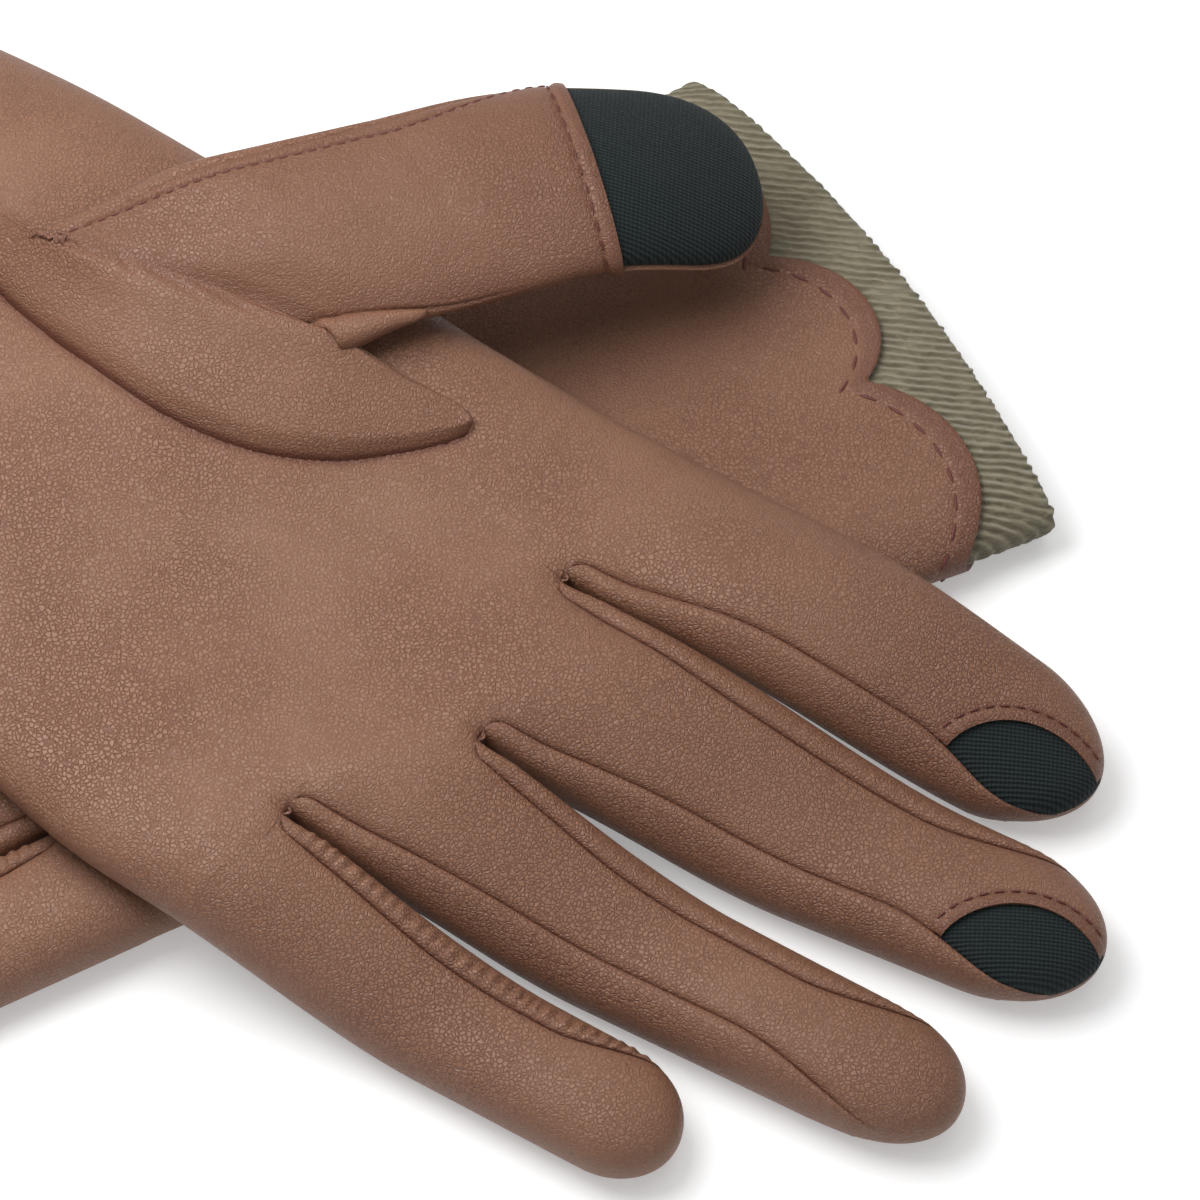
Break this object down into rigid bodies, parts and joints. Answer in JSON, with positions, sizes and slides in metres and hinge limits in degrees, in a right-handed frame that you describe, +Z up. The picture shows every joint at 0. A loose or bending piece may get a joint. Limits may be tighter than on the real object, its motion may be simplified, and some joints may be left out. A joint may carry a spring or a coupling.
{
  "type": "touchscreen gloves",
  "caption": "Pair of lined leather gloves lying crossed, palms up, with touch-sensitive patches on thumb and fingertips, side strips between the fingers and scalloped stitched cuffs.",
  "frame": {"origin": "on the table under the middle of the lower glove's palm", "axes": "+X to the viewer's right along the pair's longest extent, +Y away from the viewer, +Z up from the table"},
  "size_m": [0.241, 0.1807, 0.0396],
  "materials": {
    "leather": "soft grain, satin",
    "leather_strip": "soft grain, satin",
    "touch_fabric": "matt fine knit",
    "knit_lining": "fuzzy knit"
  },
  "bodies": {
    "right_glove": {"right_palm_panel": "leather", "right_back_panel": "leather", "right_palm_lining": "knit_lining", "right_back_lining": "knit_lining", "right_thumb_base": "leather", "right_index_front": "leather", "right_index_back": "leather", "right_index_strip": "leather_strip", "right_index_patch": "touch_fabric", "right_index_lining": "knit_lining", "right_middle_front": "leather", "right_middle_back": "leather", "right_middle_strips": "leather_strip", "right_middle_patch": "touch_fabric", "right_middle_lining": "knit_lining", "right_ring_front": "leather", "right_ring_back": "leather", "right_ring_strips": "leather_strip", "right_ring_lining": "knit_lining", "right_little_front": "leather", "right_little_back": "leather", "right_little_strip": "leather_strip", "right_little_lining": "knit_lining", "right_thumb_front": "leather", "right_thumb_back": "leather", "right_thumb_patch": "touch_fabric", "right_thumb_lining": "knit_lining"},
    "left_hand": {"left_palm_panel": "leather", "left_back_panel": "leather", "left_palm_lining": "knit_lining", "left_back_lining": "knit_lining", "left_thumb_base": "leather"},
    "left_index": {"left_index_front": "leather", "left_index_back": "leather", "left_index_strip": "leather_strip", "left_index_patch": "touch_fabric", "left_index_lining": "knit_lining"},
    "left_middle": {"left_middle_front": "leather", "left_middle_back": "leather", "left_middle_strips": "leather_strip", "left_middle_patch": "touch_fabric", "left_middle_lining": "knit_lining"},
    "left_ring": {"left_ring_front": "leather", "left_ring_back": "leather", "left_ring_strips": "leather_strip", "left_ring_lining": "knit_lining"},
    "left_little": {"left_little_front": "leather", "left_little_back": "leather", "left_little_strip": "leather_strip", "left_little_lining": "knit_lining"},
    "left_thumb": {"left_thumb_front": "leather", "left_thumb_back": "leather", "left_thumb_patch": "touch_fabric", "left_thumb_lining": "knit_lining"}
  },
  "joints": [
    {"name": "left_glove_lift", "type": "slide", "parent": "right_glove", "child": "left_hand", "axis": [0, 0, 1], "range_m": [0, 0.06]},
    {"name": "left_index_flex", "type": "hinge", "parent": "left_hand", "child": "left_index", "pos_m": [0.03034, -0.01008, 0.02367], "axis": [-0.4848, -0.8746, 0], "range_deg": [0, 60]},
    {"name": "left_middle_flex", "type": "hinge", "parent": "left_hand", "child": "left_middle", "pos_m": [0.01793, -0.03247, 0.0235], "axis": [-0.4848, -0.8746, 0], "range_deg": [0, 60]},
    {"name": "left_ring_flex", "type": "hinge", "parent": "left_hand", "child": "left_ring", "pos_m": [-0.00583, -0.04605, 0.0235], "axis": [-0.4848, -0.8746, 0], "range_deg": [0, 60]},
    {"name": "left_little_flex", "type": "hinge", "parent": "left_hand", "child": "left_little", "pos_m": [-0.01871, -0.06144, 0.02347], "axis": [-0.4848, -0.8746, 0], "range_deg": [0, 60]},
    {"name": "left_thumb_lift", "type": "hinge", "parent": "left_hand", "child": "left_thumb", "pos_m": [-0.01062, 0.02164, 0.04025], "axis": [0.2924, -0.9563, 0], "range_deg": [0, 40]}
  ]
}
